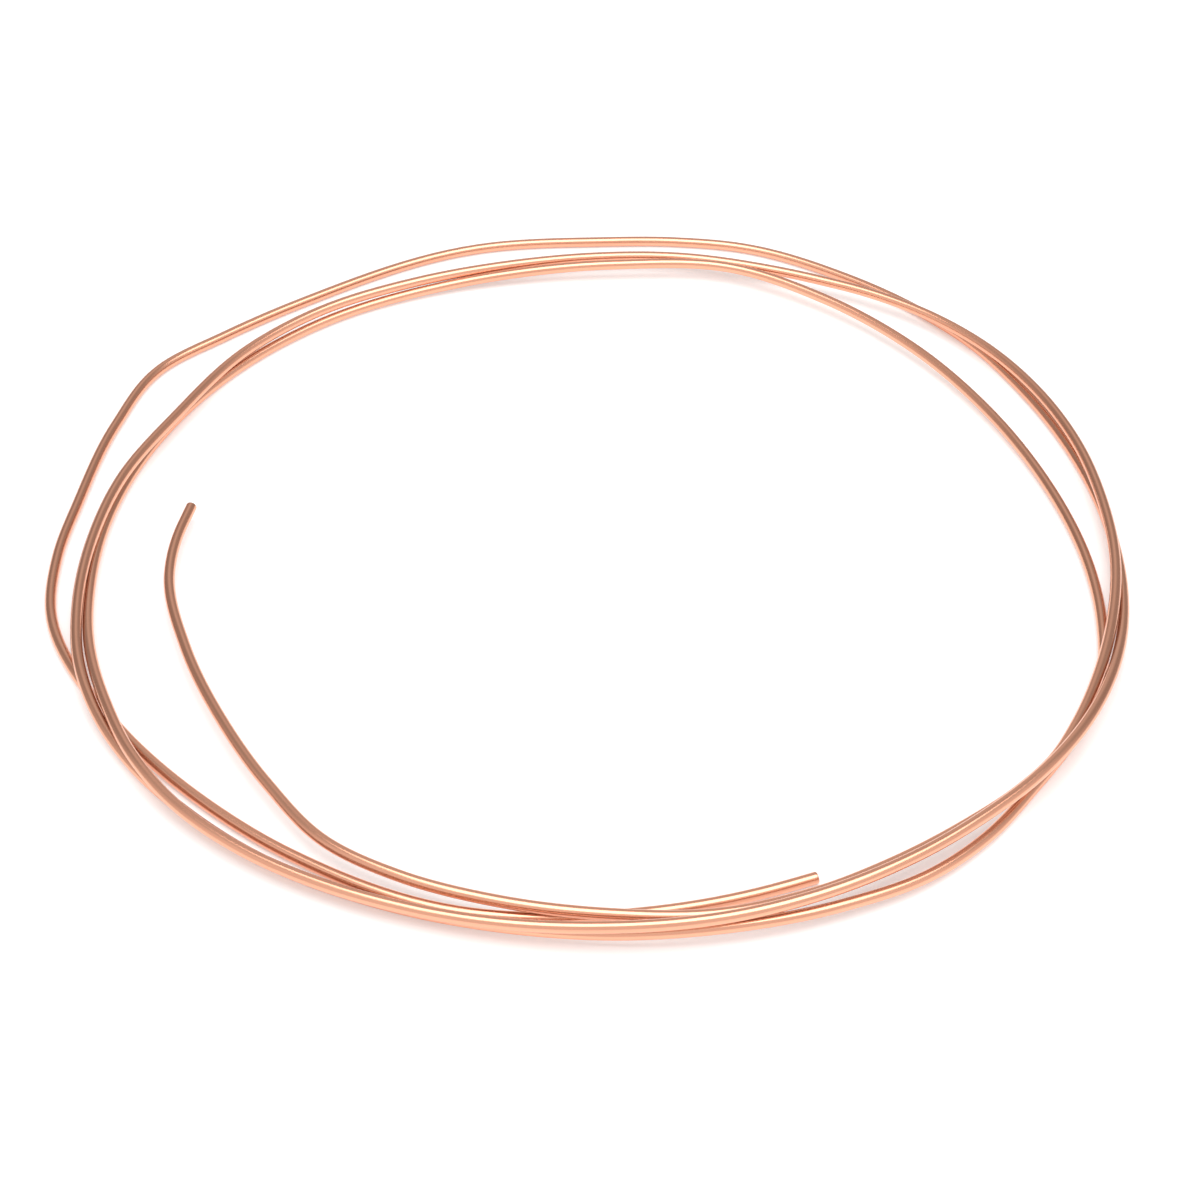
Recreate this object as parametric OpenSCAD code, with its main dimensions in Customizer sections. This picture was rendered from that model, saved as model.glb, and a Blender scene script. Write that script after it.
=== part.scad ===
// Loose coil of thin soft copper tube.
// One length of tube, cut square at both ends and wound by hand into a little over three turns
// that cross and lie on each other. Its centreline is a chain of arcs that touch end to end.

/* [Tube] */
// Outside diameter of the tube
tube_od = 3.18; // [2:0.02:5]
// Thickness of the tube's wall
tube_wall = 0.76; // [0.3:0.02:0.9]
// Straight length at each cut end
end_length = 8; // [4:1:15]

/* [Coil] */
// Diameter of the circle that the turns wander about, at the middle of the tube
coil_d = 294; // [240:1:400]
// Clear gap between turns that cross or lie on each other
turn_gap = 0.12; // [0.05:0.01:0.4]

/* [Hidden] */

copper = [0.86, 0.55, 0.41];
round_sides = 32;
arc_step_angle = 1;
arc_step_length = tube_od;
// Every second stretch is thicker by this much, and its neighbours reach into it by this much
lap = 0.01;
// A stretch that turns by less than this many degrees is straight
least_turn = 0.02;

coil_r = coil_d / 2;
bore_d = tube_od - 2 * tube_wall;
pitch = tube_od + turn_gap;

// The route, from the inner end to the outer one, counter-clockwise as seen from above.
// Each row is [angle, stray, level]: stray is how far the tube lies outside the coil's circle
// and level is how far it lies above the floor, both counted in tubes laid side by side.
inner_end = [
  [177.5, -8.95, 1], [188, -8.3, 1], [203, -8.25, 1], [218, -7.3, 1], [230, -5.55, 1],
  [241, -3.35, 1], [250, -2.65, 1], [261, -2.1, 1], [272, -1.3, 1.05], [282, -0.35, 1.05],
  [291, -0.1, 1.1], [301, -0.1, 1.1], [310, 0.15, 1.1], [317, 0.6, 1.1], [323, 0.85, 1.1],
  [329, 0.6, 1.1], [337, 0.3, 1.1],
];
first_turn = [
  [346, 0.22, 1.18], [356, 0.4, 1.2], [366, 0.6, 1.2], [376, 1.1, 1.2], [387, 1.6, 1.2],
  [397, 1.85, 1.15], [405, 1.65, 1.1], [413, 1, 1.1], [420, 0.3, 1.05], [428, -0.3, 1.05],
  [437, -0.65, 1], [450, -1.6, 1], [461, -2.25, 1.05], [474, -2.35, 1.1], [488, -1.95, 1.12],
  [500, -2.1, 1.12], [516, -2.85, 1.12], [530, -2.05, 1.2], [540, -1.5, 1.2], [553, -0.45, 1.2],
  [561, 0.3, 1.12], [566, 0.55, 0.95], [571, 0.65, 0.7], [577, 0.55, 0.38], [584, 0.27, 0.15],
  [595, 0, 0.05], [610, -0.35, 0.2], [621, -0.2, 0.45], [632, 0.35, 0.75], [643, 0.95, 0.95],
  [654, 1.55, 0.8], [663, 1.9, 0.45], [671, 1.55, 0.2], [679, 0.85, 0.05],
];
second_turn = [
  [690, 0.65, 0], [699, 0.35, 0], [707, -0.6, 0], [716, -1.65, 0], [731, -3.05, 0.1],
  [747, -3.55, 0.4], [763, -3.1, 0.75], [778, -2.25, 1], [792, -1.55, 1.2], [807, -3, 1.1],
  [823, -3.3, 0.65], [834, -2.85, 0.22], [845, -2.45, 0.08], [856, -2.35, 0.05],
  [880, -2.25, 0.05], [896, -1.95, 0.2], [909, -1.5, 0.4], [919, -0.9, 1], [929, -0.25, 1.4],
  [937, 0.45, 1.42], [945, 0.8, 1.22], [955, 0.7, 1.08], [964, 0.4, 1.04], [973, 0.2, 1.1],
  [983, 0.35, 1.45], [993, 0.65, 1.85], [1003, 0.9, 2], [1012, 0.9, 2.05], [1023, 0.9, 2.05],
  [1031, 1, 2.1], [1040, 1.3, 2.1], [1049, 1.45, 1.95],
];
third_turn = [
  [1057, 1.35, 1.45], [1064, 1.2, 0.85], [1072, 1, 0.35], [1081, 0.85, 0.05], [1091, 0.85, 0],
  [1100, 1.05, 0], [1110, 1.6, 0], [1118, 2.3, 0], [1127, 2.8, 0], [1138, 3.35, 0], [1152, 4, 0],
  [1160, 3.4, 0], [1169, 2.7, 0], [1184, 2.85, 0], [1208, 1.75, 0], [1219, 2.45, 0],
  [1228, 3.65, 0], [1239, 2.4, 0], [1253, 1.3, 0], [1262, 1.6, 0], [1271, 1.8, 0],
  [1288, -0.15, 0], [1306, -1.5, 0], [1318, -1.65, 0], [1337, -1.35, 0], [1352, -2.05, 0],
  [1370.5, -2.35, 0],
];
route = concat(inner_end, first_turn, second_turn, third_turn);
last = len(route) - 1;

// Points of the route
function place(row) =
  let (r = coil_r + row[1] * pitch)
  [r * cos(row[0]), r * sin(row[0]), tube_od / 2 + row[2] * pitch];
points = [for (row = route) place(row)];

function unit(v) = v / norm(v);
function flat(v) = [v[0], v[1], 0];

// Direction of the tube at a point. Seen from above it is that of the parabola through the point
// and its neighbours. Its slope lies between the slopes on both sides, and is level at a high
// or low point, so that the tube never dips under the floor.
function heading(step_in, step_out) =
  let (l_in = norm(step_in), l_out = norm(step_out))
  unit(step_in * l_out / l_in + step_out * l_in / l_out);
function slope(step_in, step_out) =
  let (s_in = step_in[2] / norm(flat(step_in)), s_out = step_out[2] / norm(flat(step_out)))
  s_in * s_out > 0 ? 2 * s_in * s_out / (s_in + s_out) : 0;
function way_through(step_in, step_out) =
  unit(heading(flat(step_in), flat(step_out)) + [0, 0, slope(step_in, step_out)]);
inner_ways = [
  for (i = [1:last - 1]) way_through(points[i] - points[i - 1], points[i + 1] - points[i])
];
function mirrored(way, step) = 2 * (unit(step) * way) * unit(step) - way;
ways = concat(
  [mirrored(inner_ways[0], points[1] - points[0])],
  inner_ways,
  [mirrored(inner_ways[last - 2], points[last] - points[last - 1])]
);

// Two arcs lead from each point to the next and touch the directions at both. Each arc lies in
// a corner: this is the length from the point to the corner, the same for both arcs.
function corner_length(step, way_in, way_out) =
  let (
    spread = 2 * (1 - way_in * way_out),
    along = step * (way_in + way_out)
  )
  spread < 1e-9
    ? step * step / (2 * along)
    : (sqrt(along * along + spread * (step * step)) - along) / spread;

// Both arcs from point i to the next, each as [start, direction there, end]
function arc_pair(i) =
  let (
    d = corner_length(points[i + 1] - points[i], ways[i], ways[i + 1]),
    corner_a = points[i] + d * ways[i],
    corner_b = points[i + 1] - d * ways[i + 1],
    meeting = (corner_a + corner_b) / 2
  )
  [[points[i], ways[i], meeting], [meeting, unit(corner_b - corner_a), points[i + 1]]];
arcs = [for (i = [0:last - 1]) each arc_pair(i)];

function arc_turn(arc) = 2 * acos(min(1, unit(arc[2] - arc[0]) * arc[1]));

// Highest point of an arc over its chord
function arc_middle(arc) =
  let (
    step = arc[2] - arc[0],
    side = arc[1] - (arc[1] * unit(step)) * unit(step),
    halfway = (arc[0] + arc[2]) / 2
  )
  arc_turn(arc) < least_turn
    ? halfway
    : halfway + unit(side) * norm(step) / 2 * tan(arc_turn(arc) / 4);

// The middle of the coil's outline, which the part is centred on
outline = concat(points, [for (arc = arcs) each [arc[0], arc_middle(arc)]]);
xs = [for (p = outline) p[0]];
ys = [for (p = outline) p[1]];
middle = [(max(xs) + min(xs)) / 2, (max(ys) + min(ys)) / 2, 0];

// Section of the tube, thicker by extra on both sides of its wall
module section(extra) {
  difference() {
    circle(d = tube_od + 2 * extra, $fn = round_sides);
    circle(d = bore_d - 2 * extra, $fn = round_sides);
  }
}

// Straight tube from a point along a level direction
module straight_tube(start, way, length, extra) {
  side = [way[1], -way[0], 0];
  multmatrix([
    [0, side[0], way[0], start[0]],
    [0, side[1], way[1], start[1]],
    [-1, 0, 0, start[2]],
  ])
    linear_extrude(length)
      section(extra);
}

// Tube along one arc, which reaches past both ends of it
module arc_tube(arc, extra, reach) {
  start = arc[0];
  way = arc[1];
  step = arc[2] - start;
  turn = arc_turn(arc);
  inward = unit(step - (step * way) * way);
  axis = cross(way, inward);
  radius = norm(step) / (2 * sin(turn / 2));
  reach_turn = reach / radius * 180 / PI;
  multmatrix([
    [-inward[0], way[0], axis[0], start[0]],
    [-inward[1], way[1], axis[1], start[1]],
    [-inward[2], way[2], axis[2], start[2]],
  ])
    translate([-radius, 0, 0])
      rotate_extrude(
        angle = turn + 2 * reach_turn,
        start = -reach_turn,
        $fa = arc_step_angle,
        $fs = arc_step_length
      )
        translate([radius, 0])
          section(extra);
}

module copper_tube() {
  color(copper)
    translate(-middle)
      union() {
        straight_tube(points[0] - end_length * ways[0], ways[0], end_length, lap);
        for (i = [0:len(arcs) - 1]) {
          thick = i % 2 == 1;
          arc_tube(arcs[i], thick ? lap : 0, thick ? 0 : lap);
        }
        straight_tube(points[last] - lap * ways[last], ways[last], end_length + lap, 0);
      }
}

copper_tube();
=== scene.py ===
# %% [markdown]
# # Copper tube coil
# The real thing is one length of thin soft copper tube, here taken to be 3.18 mm outside and
# 1.66 mm inside. It was wound by hand into a little over three loose turns, so it wanders, kinks
# and climbs over itself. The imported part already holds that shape. This lesson lays a smooth tube
# along the same route, gives it a copper finish and lights it.

import math

import bpy
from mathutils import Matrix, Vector


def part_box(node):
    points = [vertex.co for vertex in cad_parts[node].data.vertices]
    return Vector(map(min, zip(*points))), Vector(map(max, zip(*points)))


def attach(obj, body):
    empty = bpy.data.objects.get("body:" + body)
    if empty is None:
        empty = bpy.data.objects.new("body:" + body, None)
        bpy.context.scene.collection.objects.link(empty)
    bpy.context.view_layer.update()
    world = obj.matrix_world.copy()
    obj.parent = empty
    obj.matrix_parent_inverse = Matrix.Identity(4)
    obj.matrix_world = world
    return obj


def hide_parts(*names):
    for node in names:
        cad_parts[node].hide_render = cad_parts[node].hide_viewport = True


MM = 0.001

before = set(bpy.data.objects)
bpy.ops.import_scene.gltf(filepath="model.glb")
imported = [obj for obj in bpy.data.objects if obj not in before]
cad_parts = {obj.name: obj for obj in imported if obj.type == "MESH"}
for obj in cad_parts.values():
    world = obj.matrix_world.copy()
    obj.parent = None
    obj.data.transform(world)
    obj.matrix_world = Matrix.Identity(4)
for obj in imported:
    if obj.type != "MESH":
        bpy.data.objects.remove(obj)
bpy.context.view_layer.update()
cad_low, cad_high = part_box("copper_tube")
print("packed coil, mm:", [round(side / MM, 1) for side in cad_high - cad_low])

# %% [markdown]
# ## The route of the tube
# A coil wound on a machine could be one helix. This one was wound by hand, so each stretch lies
# where the hand left it. The route is a short list for each turn. A row says at what angle round
# the coil it is, how far the tube strays outwards from the coil's circle there, and on what level
# it lies. Stray and level are counted in tubes laid side by side, which keeps them easy to judge.

# %% Route rows
TUBE_OD = 3.18 * MM
TUBE_WALL = 0.76 * MM
TURN_GAP = 0.12 * MM
COIL_RADIUS = 147 * MM
END_LENGTH = 8 * MM
PITCH = TUBE_OD + TURN_GAP

inner_end = [
    (177.5, -8.95, 1), (188, -8.3, 1), (203, -8.25, 1), (218, -7.3, 1), (230, -5.55, 1),
    (241, -3.35, 1), (250, -2.65, 1), (261, -2.1, 1), (272, -1.3, 1.05), (282, -0.35, 1.05),
    (291, -0.1, 1.1), (301, -0.1, 1.1), (310, 0.15, 1.1), (317, 0.6, 1.1), (323, 0.85, 1.1),
    (329, 0.6, 1.1), (337, 0.3, 1.1),
]
first_turn = [
    (346, 0.22, 1.18), (356, 0.4, 1.2), (366, 0.6, 1.2), (376, 1.1, 1.2), (387, 1.6, 1.2),
    (397, 1.85, 1.15), (405, 1.65, 1.1), (413, 1, 1.1), (420, 0.3, 1.05), (428, -0.3, 1.05),
    (437, -0.65, 1), (450, -1.6, 1), (461, -2.25, 1.05), (474, -2.35, 1.1), (488, -1.95, 1.12),
    (500, -2.1, 1.12), (516, -2.85, 1.12), (530, -2.05, 1.2), (540, -1.5, 1.2), (553, -0.45, 1.2),
    (561, 0.3, 1.12), (566, 0.55, 0.95), (571, 0.65, 0.7), (577, 0.55, 0.38), (584, 0.27, 0.15),
    (595, 0, 0.05), (610, -0.35, 0.2), (621, -0.2, 0.45), (632, 0.35, 0.75), (643, 0.95, 0.95),
    (654, 1.55, 0.8), (663, 1.9, 0.45), (671, 1.55, 0.2), (679, 0.85, 0.05),
]
second_turn = [
    (690, 0.65, 0), (699, 0.35, 0), (707, -0.6, 0), (716, -1.65, 0), (731, -3.05, 0.1),
    (747, -3.55, 0.4), (763, -3.1, 0.75), (778, -2.25, 1), (792, -1.55, 1.2), (807, -3, 1.1),
    (823, -3.3, 0.65), (834, -2.85, 0.22), (845, -2.45, 0.08), (856, -2.35, 0.05),
    (880, -2.25, 0.05), (896, -1.95, 0.2), (909, -1.5, 0.4), (919, -0.9, 1), (929, -0.25, 1.4),
    (937, 0.45, 1.42), (945, 0.8, 1.22), (955, 0.7, 1.08), (964, 0.4, 1.04), (973, 0.2, 1.1),
    (983, 0.35, 1.45), (993, 0.65, 1.85), (1003, 0.9, 2), (1012, 0.9, 2.05), (1023, 0.9, 2.05),
    (1031, 1, 2.1), (1040, 1.3, 2.1), (1049, 1.45, 1.95),
]
third_turn = [
    (1057, 1.35, 1.45), (1064, 1.2, 0.85), (1072, 1, 0.35), (1081, 0.85, 0.05), (1091, 0.85, 0),
    (1100, 1.05, 0), (1110, 1.6, 0), (1118, 2.3, 0), (1127, 2.8, 0), (1138, 3.35, 0),
    (1152, 4, 0), (1160, 3.4, 0), (1169, 2.7, 0), (1184, 2.85, 0), (1208, 1.75, 0),
    (1219, 2.45, 0), (1228, 3.65, 0), (1239, 2.4, 0), (1253, 1.3, 0), (1262, 1.6, 0),
    (1271, 1.8, 0), (1288, -0.15, 0), (1306, -1.5, 0), (1318, -1.65, 0), (1337, -1.35, 0),
    (1352, -2.05, 0), (1370.5, -2.35, 0),
]
route = inner_end + first_turn + second_turn + third_turn
print("route:", len(route), "rows,", round((route[-1][0] - route[0][0]) / 360, 2), "turns")

# %% [markdown]
# ## Directions along the route
# Points alone don't make a smooth tube: each also needs the direction in which the tube passes it.
# Automatic curve handles would guess one, but they overshoot where the tube climbs, and would push
# it under the floor. So the direction seen from above follows the neighbours on both sides, and
# the slope lies between the slopes on both sides, and is level at every high and low point.

# %% Points and directions
def route_point(row):
    angle, stray, level = row
    angle = math.radians(angle)
    radius = COIL_RADIUS + stray * PITCH
    return Vector((radius * math.cos(angle), radius * math.sin(angle), TUBE_OD / 2 + level * PITCH))


def seen_from_above(step):
    return Vector((step.x, step.y, 0))


def direction_through(step_in, step_out):
    flat_in, flat_out = seen_from_above(step_in), seen_from_above(step_out)
    heading = flat_in.normalized() * flat_out.length + flat_out.normalized() * flat_in.length
    slope_in, slope_out = step_in.z / flat_in.length, step_out.z / flat_out.length
    climbs_on = slope_in * slope_out > 0
    slope = 2 * slope_in * slope_out / (slope_in + slope_out) if climbs_on else 0
    return (heading.normalized() + Vector((0, 0, slope))).normalized()


points = [route_point(row) for row in route]
steps = [after - before for before, after in zip(points, points[1:])]
ways = [direction_through(step_in, step_out) for step_in, step_out in zip(steps, steps[1:])]
# At both ends the tube keeps bending as much as in the stretch next to it.
ways.insert(0, -ways[0].reflect(steps[0].normalized()))
ways.append(-ways[-1].reflect(steps[-1].normalized()))
# A short straight piece leads to each cut.
points = [points[0] - END_LENGTH * ways[0]] + points + [points[-1] + END_LENGTH * ways[-1]]
ways = [ways[0]] + ways + [ways[-1]]
print("curve points:", len(points))

# %% [markdown]
# ## The tube
# A tube can be lofted from rings, or a profile can be swept along a curve. Sweeping is how drawn
# tube looks: the same section everywhere. A Bezier curve goes through the points with handles
# along the directions, a round bevel gives it the outside diameter, and then it becomes a mesh.

# %% Sweep the outside of the tube
SIDES = 24
RINGS_PER_STRETCH = 12
HANDLE_SHARE = 1 / 3

bpy.ops.object.select_all(action="DESELECT")
bpy.ops.curve.primitive_bezier_curve_add(location=(0, 0, 0))
tube = bpy.context.object
tube.name = "drawn_tube"
tube.data.dimensions = "3D"
tube.data.resolution_u = RINGS_PER_STRETCH
tube.data.bevel_depth = TUBE_OD / 2
# A round bevel has four sides, and two more for each step of its resolution.
tube.data.bevel_resolution = (SIDES - 4) // 2

spline = tube.data.splines[0]
spline.bezier_points.add(len(points) - len(spline.bezier_points))
lengths = [(after - before).length for before, after in zip(points, points[1:])]
for knot, point, way, before, after in zip(
    spline.bezier_points, points, ways, lengths[:1] + lengths, lengths + lengths[-1:]
):
    knot.handle_left_type = knot.handle_right_type = "FREE"
    knot.co = point
    knot.handle_left = point - way * before * HANDLE_SHARE
    knot.handle_right = point + way * after * HANDLE_SHARE

tube_length = spline.calc_length()
bpy.ops.object.convert(target="MESH")
print("tube length, m:", round(tube_length, 3), "with", len(tube.data.vertices), "vertices")

# %% [markdown]
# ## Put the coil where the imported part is
# The route turns about the centre of the coil's circle, but the part is centred on its outline.
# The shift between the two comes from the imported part's own box, and it goes into the mesh, so
# that the object itself stays at the origin.

# %% Centre the tube
corners = [vertex.co for vertex in tube.data.vertices]
tube_low = Vector(min(corner[axis] for corner in corners) for axis in range(3))
tube_high = Vector(max(corner[axis] for corner in corners) for axis in range(3))
coil_centre = (cad_low + cad_high - tube_low - tube_high) / 2
coil_centre.z = 0
tube.location = coil_centre
bpy.ops.object.transform_apply(location=True, rotation=False, scale=False)
print("coil's circle is centred at, mm:", [round(x / MM, 2) for x in coil_centre])

# %% [markdown]
# ## A place on the tube for patterns
# Drawing the tube through a die leaves lines that run along it, round every bend. Flat coordinates
# would cut across the bends, and a plain UV map has a seam. So each point remembers how far along
# the tube it is, and where round the straight, unbent tube it would be.

# %% Remember each point's place on the straight tube
ring_count = len(tube.data.vertices) // SIDES
tube_place = tube.data.attributes.new("tube_place", "FLOAT_VECTOR", "POINT")
distance = 0
ring_before = None
for ring in range(ring_count):
    ring_points = [tube.data.vertices[ring * SIDES + side].co for side in range(SIDES)]
    ring_middle = sum(ring_points, Vector()) / SIDES
    distance += (ring_middle - ring_before).length if ring_before else 0
    ring_before = ring_middle
    for side in range(SIDES):
        turn = 2 * math.pi * side / SIDES
        around = Vector((distance, math.cos(turn) * TUBE_OD / 2, math.sin(turn) * TUBE_OD / 2))
        tube_place.data[ring * SIDES + side].vector = around
print("rings:", ring_count, "over", round(distance, 3), "m")

# %% [markdown]
# ## Wall and bore
# Solidify thickens the swept skin inwards, which leaves the true bore from end to end and closes
# both cuts with a flat ring. It can give the bore and the cuts their own materials, so the three
# finishes get their slots first.

# %% Give the tube its wall
finishes = ["drawn_copper", "bore_copper", "cut_copper"]
drawn_copper, bore_copper, cut_copper = [bpy.data.materials.new(name) for name in finishes]
tube.data.materials.clear()
for finish in (drawn_copper, bore_copper, cut_copper):
    tube.data.materials.append(finish)

wall = tube.modifiers.new("wall", "SOLIDIFY")
wall.thickness = TUBE_WALL
wall.offset = -1
wall.use_even_offset = True
wall.material_offset = finishes.index("bore_copper")
wall.material_offset_rim = finishes.index("cut_copper")
bpy.ops.object.modifier_apply(modifier=wall.name)
print("with its wall:", len(tube.data.polygons), "faces")

# %% [markdown]
# ## Cut ends
# A tube cutter presses a wheel through the wall, so the lip of a cut is never a sharp corner: it
# rolls over a little and catches the light. The edges round both cuts are found by their place,
# in the plane of the cut, and bevelled.

# %% Roll the lips of the cuts
LIP_ROLL = 0.18 * MM
LIP_SEGMENTS = 3
NEAR = 0.02 * MM
SMOOTH_BELOW = math.radians(40)

cuts = [(points[0] + coil_centre, ways[0]), (points[-1] + coil_centre, ways[-1])]


def lies_in_a_cut(place):
    return any(
        abs((place - centre).dot(way)) < NEAR and (place - centre).length < TUBE_OD
        for centre, way in cuts
    )


bpy.ops.object.mode_set(mode="EDIT")
bpy.ops.mesh.select_mode(type="EDGE")
bpy.ops.mesh.select_all(action="DESELECT")
bpy.ops.object.mode_set(mode="OBJECT")
in_cut = [lies_in_a_cut(vertex.co) for vertex in tube.data.vertices]
for edge in tube.data.edges:
    first, second = [tube.data.vertices[index].co for index in edge.vertices]
    # An edge as long as the wall is thick leads across the cut, not round it.
    across_the_wall = (first - second).length > TUBE_WALL - NEAR
    edge.select = in_cut[edge.vertices[0]] and in_cut[edge.vertices[1]] and not across_the_wall
lip_edges = sum(edge.select for edge in tube.data.edges)
bpy.ops.object.mode_set(mode="EDIT")
bpy.ops.mesh.bevel(offset=LIP_ROLL, segments=LIP_SEGMENTS, affect="EDGES")
bpy.ops.object.mode_set(mode="OBJECT")
bpy.ops.object.shade_smooth_by_angle(angle=SMOOTH_BELOW)
print("lip edges:", lip_edges, "faces now:", len(tube.data.polygons))

# %% [markdown]
# ## Effects that the finishes share
# Draw lines run along the outside and along the bore. Handling leaves faint brown clouds on every
# copper surface. Each effect is a node group, so that a finish only sets its own sizes.

# %% Node helpers
def add_node(tree, kind, settings=None, **inputs):
    node = tree.nodes.new(kind)
    for name, value in (settings or {}).items():
        setattr(node, name, value)
    for name, value in inputs.items():
        node.inputs[name.replace("_", " ")].default_value = value
    return node


def new_group(name, inputs, outputs):
    group = bpy.data.node_groups.new(name, "ShaderNodeTree")
    for label, kind in inputs:
        group.interface.new_socket(label, in_out="INPUT", socket_type=kind)
    for label in outputs:
        group.interface.new_socket(label, in_out="OUTPUT", socket_type="NodeSocketFloat")
    return group, group.nodes.new("NodeGroupInput"), group.nodes.new("NodeGroupOutput")


def stretched_noise(tree, place, spacing, detail=2.0, roughness=0.5):
    stretch = add_node(tree, "ShaderNodeMapping", Scale=[1 / size for size in spacing])
    noise = add_node(tree, "ShaderNodeTexNoise", Scale=1.0, Detail=detail, Roughness=roughness)
    tree.links.new(place, stretch.inputs["Vector"])
    tree.links.new(stretch.outputs["Vector"], noise.inputs["Vector"])
    return noise.outputs["Fac"]


# %% Draw lines
# Length of a line along the tube, and its width twice, once for each way across
FINE_LINE = (30 * MM, 0.09 * MM, 0.09 * MM)
BROAD_LINE = (90 * MM, 0.45 * MM, 0.45 * MM)

draw_lines, group_in, group_out = new_group(
    "draw_lines", [("Place", "NodeSocketVector")], ["Height", "Streak"]
)
fine_lines = stretched_noise(draw_lines, group_in.outputs["Place"], FINE_LINE)
broad_lines = stretched_noise(draw_lines, group_in.outputs["Place"], BROAD_LINE)
draw_lines.links.new(fine_lines, group_out.inputs["Height"])
draw_lines.links.new(broad_lines, group_out.inputs["Streak"])
print("group:", draw_lines.name)

# %% Handling clouds
CLOUD = (45 * MM, 3 * MM, 3 * MM)
CLOUD_STARTS, CLOUD_FULL = 0.45, 0.75

handling, group_in, group_out = new_group(
    "handling", [("Place", "NodeSocketVector"), ("Amount", "NodeSocketFloat")], ["Tarnish"]
)
clouds = stretched_noise(handling, group_in.outputs["Place"], CLOUD, detail=4.0, roughness=0.6)
limit = add_node(handling, "ShaderNodeMapRange")
limit.inputs["From Min"].default_value = CLOUD_STARTS
limit.inputs["From Max"].default_value = CLOUD_FULL
weigh = add_node(handling, "ShaderNodeMath", {"operation": "MULTIPLY"})
handling.links.new(clouds, limit.inputs["Value"])
handling.links.new(limit.outputs["Result"], weigh.inputs[0])
handling.links.new(group_in.outputs["Amount"], weigh.inputs[1])
handling.links.new(weigh.outputs["Value"], group_out.inputs["Tarnish"])
print("group:", handling.name)

# %% [markdown]
# ## Copper finishes
# Copper is a metal, so nearly all its colour comes from what it reflects. The outside is bright
# from the die, the cuts are brighter still, and the bore is dull. One function builds all three:
# it mixes a clean and a tarnished copper, and lets the draw lines bend the light a little.
#
# Copper that shows in other copper turns redder with each reflection. With these plain colours
# the narrow spaces between turns came out redder than real ones look, so reflections see a duller,
# less red copper: painted shade in the spaces between turns. It is a trick of the render, and a
# bake of the colours leaves it out.

# %% Copper materials
# Painted shade: the duller copper that only reflections see, which darkens the spaces between turns
REFLECTION_SHADE_COPPER = (0.7, 0.47, 0.37)


def copper_finish(material, clean, tarnished, tarnish, roughness, line_depth):
    material.use_nodes = True
    tree = material.node_tree
    shader = tree.nodes["Principled BSDF"]
    shader.inputs["Metallic"].default_value = 1.0

    place = add_node(tree, "ShaderNodeAttribute", {"attribute_name": "tube_place"})
    marks = add_node(tree, "ShaderNodeGroup", {"node_tree": handling}, Amount=tarnish)
    lines = add_node(tree, "ShaderNodeGroup", {"node_tree": draw_lines})
    for group in (marks, lines):
        tree.links.new(place.outputs["Vector"], group.inputs["Place"])

    tone = add_node(tree, "ShaderNodeMix", {"data_type": "RGBA"})
    tone.inputs["A"].default_value = (*clean, 1)
    tone.inputs["B"].default_value = (*tarnished, 1)
    tree.links.new(marks.outputs["Tarnish"], tone.inputs["Factor"])
    # Reflections get the painted-shade copper instead of the tube's own tone
    rays = tree.nodes.new("ShaderNodeLightPath")
    painted_reflection_shade = add_node(tree, "ShaderNodeMix", {"data_type": "RGBA"})
    painted_reflection_shade.inputs["B"].default_value = (*REFLECTION_SHADE_COPPER, 1)
    tree.links.new(rays.outputs["Is Glossy Ray"], painted_reflection_shade.inputs["Factor"])
    tree.links.new(tone.outputs["Result"], painted_reflection_shade.inputs["A"])
    tree.links.new(painted_reflection_shade.outputs["Result"], shader.inputs["Base Color"])

    gloss = add_node(tree, "ShaderNodeMapRange")
    gloss.inputs["To Min"].default_value = roughness[0]
    gloss.inputs["To Max"].default_value = roughness[1]
    tree.links.new(lines.outputs["Streak"], gloss.inputs["Value"])
    tree.links.new(gloss.outputs["Result"], shader.inputs["Roughness"])

    relief = add_node(tree, "ShaderNodeBump", Strength=1.0, Distance=line_depth)
    tree.links.new(lines.outputs["Height"], relief.inputs["Height"])
    tree.links.new(relief.outputs["Normal"], shader.inputs["Normal"])
    print("finish:", material.name, "roughness", roughness)


copper_finish(
    drawn_copper,
    clean=(0.93, 0.46, 0.305),
    tarnished=(0.8, 0.38, 0.25),
    tarnish=0.5,
    roughness=(0.17, 0.27),
    line_depth=0.003 * MM,
)
copper_finish(
    bore_copper,
    clean=(0.62, 0.29, 0.19),
    tarnished=(0.4, 0.17, 0.11),
    tarnish=1.0,
    roughness=(0.35, 0.5),
    line_depth=0.006 * MM,
)
copper_finish(
    cut_copper,
    clean=(0.95, 0.56, 0.4),
    tarnished=(0.86, 0.44, 0.3),
    tarnish=0.3,
    roughness=(0.18, 0.3),
    line_depth=0.004 * MM,
)

# %% [markdown]
# ## Floor
# The coil lies on a plain white, slightly glossy floor. In the picture the floor is white, though
# soft light alone would leave it a pale grey. It gets the rest as a glow that only the camera and
# reflections see. So the copper mirrors a white floor, and the floor keeps the coil's shadow.

# %% White floor
FLOOR_SIZE = 24
FLOOR_WHITE = (0.9, 0.9, 0.9, 1)
FLOOR_ROUGHNESS = 0.2
FLOOR_GLOW = 0.27

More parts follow.
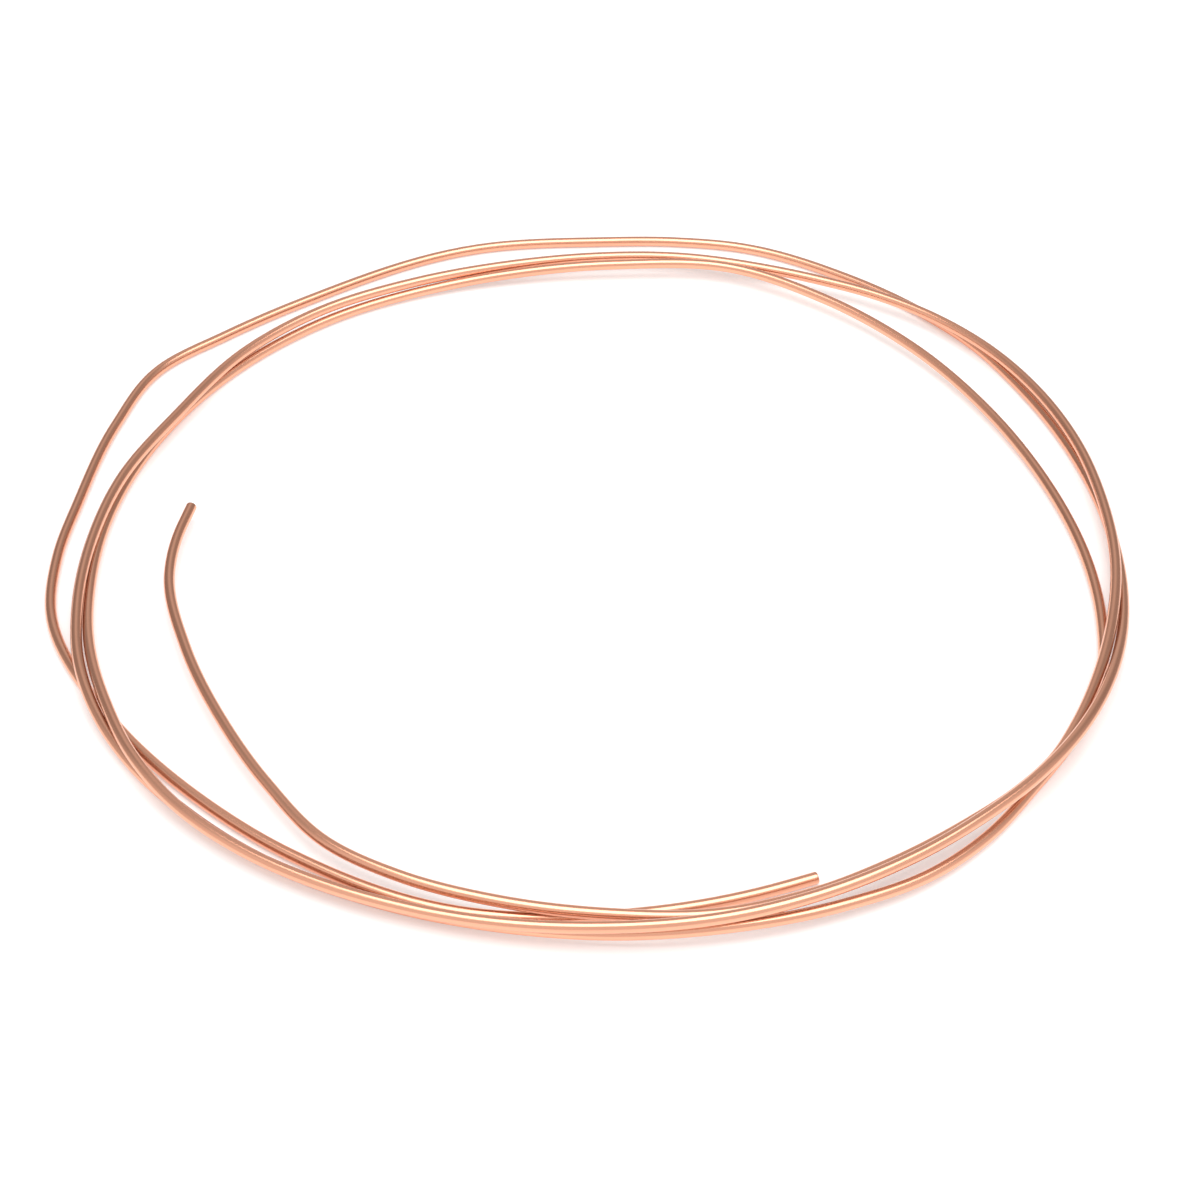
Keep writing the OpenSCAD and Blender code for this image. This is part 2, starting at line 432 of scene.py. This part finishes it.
bpy.ops.object.select_all(action="DESELECT")
bpy.ops.mesh.primitive_plane_add(size=FLOOR_SIZE, location=(0, 0, 0))
floor = bpy.context.object
floor.name = "floor"
white = bpy.data.materials.new("white_floor")
white.use_nodes = True
floor.data.materials.append(white)
tree = white.node_tree
shader = tree.nodes["Principled BSDF"]
shader.inputs["Base Color"].default_value = FLOOR_WHITE
shader.inputs["Roughness"].default_value = FLOOR_ROUGHNESS
shader.inputs["Emission Color"].default_value = (1, 1, 1, 1)
rays = tree.nodes.new("ShaderNodeLightPath")
seen = rays.outputs["Is Camera Ray"]
for kind in ("Is Glossy Ray", "Is Transmission Ray"):
    either = add_node(tree, "ShaderNodeMath", {"operation": "MAXIMUM"})
    tree.links.new(seen, either.inputs[0])
    tree.links.new(rays.outputs[kind], either.inputs[1])
    seen = either.outputs["Value"]
glow = add_node(tree, "ShaderNodeMath", {"operation": "MULTIPLY"})
glow.inputs[1].default_value = FLOOR_GLOW
tree.links.new(seen, glow.inputs[0])
tree.links.new(glow.outputs["Value"], shader.inputs["Emission Strength"])
print("floor:", FLOOR_SIZE, "m wide")

# %% [markdown]
# ## Studio light
# Bright metal looks like its surroundings. A wide softbox hangs almost straight above, a little to
# the right, and draws the long pale stripe on every stretch that runs from side to side. The room
# is bright on the viewer's side. Its back wall is pale in the middle and dimmer to both sides, so
# the stretches that run away from the viewer turn brown, with a paler middle.

# %% Softbox
SOFTBOX_SIZE = (1.4, 1.0)
SOFTBOX_PLACE = Vector((0.15, -0.15, 1.2))
SOFTBOX_BRIGHTNESS = 2.3

bpy.ops.object.light_add(type="AREA", location=SOFTBOX_PLACE)
softbox = bpy.context.object
softbox.name = "softbox"
softbox.data.shape = "RECTANGLE"
softbox.data.size, softbox.data.size_y = SOFTBOX_SIZE
# A lamp's power spreads over its area and, with pi, over all directions in front of it.
softbox.data.energy = SOFTBOX_BRIGHTNESS * math.pi * SOFTBOX_SIZE[0] * SOFTBOX_SIZE[1]
print("softbox, W:", round(softbox.data.energy, 2))

# %% Room
# Greys from the left of the back wall to its right, each with its place between them
BACK_GREYS = [
    (0.2, 0.3), (0.3, 0.36), (0.4, 0.57), (0.5, 0.6), (0.6, 0.48), (0.7, 0.34), (0.8, 0.34),
]
VIEWER_SIDE = 0.85
# How far towards the back a direction points where the viewer's side ends and the back wall begins
VIEWER_SIDE_ENDS, BACK_WALL_BEGINS = -0.3, 0.5

room = bpy.data.worlds.new("studio_room")
bpy.context.scene.world = room
room.use_nodes = True
tree = room.node_tree
background = tree.nodes["Background"]
direction = tree.nodes.new("ShaderNodeTexCoord")
parts = tree.nodes.new("ShaderNodeSeparateXYZ")
tree.links.new(direction.outputs["Generated"], parts.inputs["Vector"])

sideways = add_node(tree, "ShaderNodeMapRange")
sideways.inputs["From Min"].default_value = -1
back_wall = tree.nodes.new("ShaderNodeValToRGB")
while len(back_wall.color_ramp.elements) < len(BACK_GREYS):
    back_wall.color_ramp.elements.new(1.0)
for stop, (position, grey) in zip(back_wall.color_ramp.elements, BACK_GREYS):
    stop.position = position
    stop.color = (grey, grey, grey, 1)
tree.links.new(parts.outputs["X"], sideways.inputs["Value"])
tree.links.new(sideways.outputs["Result"], back_wall.inputs["Fac"])

towards_back = add_node(tree, "ShaderNodeMapRange")
towards_back.inputs["From Min"].default_value = VIEWER_SIDE_ENDS
towards_back.inputs["From Max"].default_value = BACK_WALL_BEGINS
tree.links.new(parts.outputs["Y"], towards_back.inputs["Value"])
walls = add_node(tree, "ShaderNodeMix", {"data_type": "RGBA"})
walls.inputs["A"].default_value = (VIEWER_SIDE, VIEWER_SIDE, VIEWER_SIDE, 1)
tree.links.new(towards_back.outputs["Result"], walls.inputs["Factor"])
tree.links.new(back_wall.outputs["Color"], walls.inputs["B"])
tree.links.new(walls.outputs["Result"], background.inputs["Color"])
bpy.context.scene.view_settings.view_transform = "Standard"
print("back wall from left to right:", [grey for position, grey in BACK_GREYS])

# %% [markdown]
# ## Camera
# The coil is seen from the front and from well above. The picture's middle is a point on the floor
# a little nearer than the coil's own middle. A lens longer than normal keeps the far side large.

# %% Camera
VIEW_ELEVATION = math.radians(41.67)
VIEW_DISTANCE = 688.8 * MM
VIEW_AIM = Vector((2.45, -22.35, 0)) * MM
VIEW_LENS = 73.7

towards_viewer = Vector((0, -math.cos(VIEW_ELEVATION), math.sin(VIEW_ELEVATION)))
bpy.ops.object.camera_add(
    location=coil_centre + VIEW_AIM + towards_viewer * VIEW_DISTANCE,
    rotation=(math.pi / 2 - VIEW_ELEVATION, 0, 0),
)
camera = bpy.context.object
camera.data.lens = VIEW_LENS
bpy.context.scene.camera = camera
print("camera at, mm:", [round(x / MM) for x in camera.location])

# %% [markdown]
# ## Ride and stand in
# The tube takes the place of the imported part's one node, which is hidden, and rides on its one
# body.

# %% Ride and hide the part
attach(tube, "root")
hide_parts("copper_tube")
